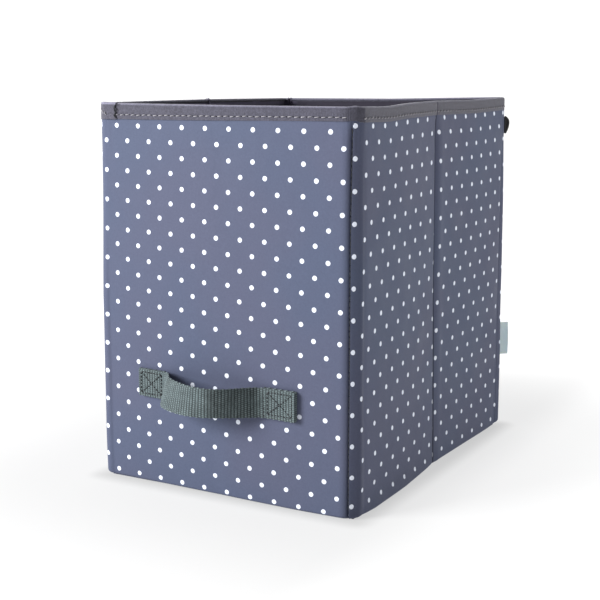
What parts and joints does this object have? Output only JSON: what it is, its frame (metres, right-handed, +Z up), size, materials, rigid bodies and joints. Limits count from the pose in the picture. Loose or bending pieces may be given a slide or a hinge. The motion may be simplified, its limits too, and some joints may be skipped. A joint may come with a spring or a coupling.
{
  "type": "fabric storage bin",
  "caption": "Open rectangular storage bin of dotted fabric over stiff boards, with a taped rim and a strap handle; its side walls crease inwards so that it collapses.",
  "frame": {"origin": "centre of the underside, on the surface that the bin stands on", "axes": "+Z up, -Y out of the front wall that carries the handle, +X to the right seen from the front"},
  "size_m": [0.2363, 0.3343, 0.304],
  "materials": {
    "dotted_fabric": "satin",
    "stiffener": "matte",
    "lining": "matte",
    "rim_tape": "matte",
    "webbing": "satin",
    "label": "satin",
    "cord": "matte"
  },
  "bodies": {
    "front": {"front_cover": "dotted_fabric", "front_board": "stiffener", "front_lining": "lining", "front_rim_tape": "rim_tape", "corner_fold_front_left": "dotted_fabric", "corner_fold_front_right": "dotted_fabric", "bottom_cover": "dotted_fabric", "handle_end_left": "webbing", "handle_end_right": "webbing"},
    "handle": {"handle_strap": "webbing"},
    "base_panel": {"base_underside": "lining", "base_board": "stiffener", "base_lining": "lining"},
    "right_front": {"right_front_cover": "dotted_fabric", "right_front_board": "stiffener", "right_front_lining": "lining", "right_front_rim_tape": "rim_tape"},
    "right_rear": {"right_rear_cover": "dotted_fabric", "right_rear_board": "stiffener", "right_rear_lining": "lining", "right_rear_rim_tape": "rim_tape"},
    "left_front": {"left_front_cover": "dotted_fabric", "left_front_board": "stiffener", "left_front_lining": "lining", "left_front_rim_tape": "rim_tape"},
    "left_rear": {"left_rear_cover": "dotted_fabric", "left_rear_board": "stiffener", "left_rear_lining": "lining", "left_rear_rim_tape": "rim_tape"},
    "back": {"back_cover": "dotted_fabric", "back_board": "stiffener", "back_lining": "lining", "back_rim_tape": "rim_tape", "corner_fold_back_left": "dotted_fabric", "corner_fold_back_right": "dotted_fabric", "care_label": "label", "hang_loop": "cord"}
  },
  "joints": [
    {"name": "fold", "type": "hinge", "parent": "front", "child": "right_front", "pos_m": [0.11, -0.1392, 0], "axis": [0, 0, 1], "range_deg": [0, 87.5]},
    {"name": "right_crease", "type": "hinge", "parent": "right_front", "child": "right_rear", "pos_m": [0.1119, 0, 0], "axis": [0, 0, 1], "range_deg": [-155.75, 0]},
    {"name": "left_corner", "type": "hinge", "parent": "front", "child": "left_front", "pos_m": [-0.11, -0.1392, 0], "axis": [0, 0, 1], "range_deg": [-68.25, 0]},
    {"name": "left_crease", "type": "hinge", "parent": "left_front", "child": "left_rear", "pos_m": [-0.1119, 0, 0], "axis": [0, 0, 1], "range_deg": [0, 155.75]},
    {"name": "back_corner", "type": "hinge", "parent": "left_rear", "child": "back", "pos_m": [-0.11, 0.1392, 0], "axis": [0, 0, 1], "range_deg": [-87.5, 0]},
    {"name": "base_lift", "type": "hinge", "parent": "front", "child": "base_panel", "pos_m": [0, -0.1436, 0.005], "axis": [1, 0, 0], "range_deg": [0, 90]},
    {"name": "handle_swing", "type": "hinge", "parent": "front", "child": "handle", "pos_m": [0, -0.1495, 0.0837], "axis": [1, 0, 0], "range_deg": [-25, 25], "stiffness_Nm_per_rad": 0.05}
  ],
  "couplings": [
    {"joint": "right_crease", "follows": "fold", "ratio": -1.78},
    {"joint": "left_corner", "follows": "fold", "ratio": -0.78},
    {"joint": "left_crease", "follows": "fold", "ratio": 1.78},
    {"joint": "back_corner", "follows": "fold", "ratio": -1}
  ]
}
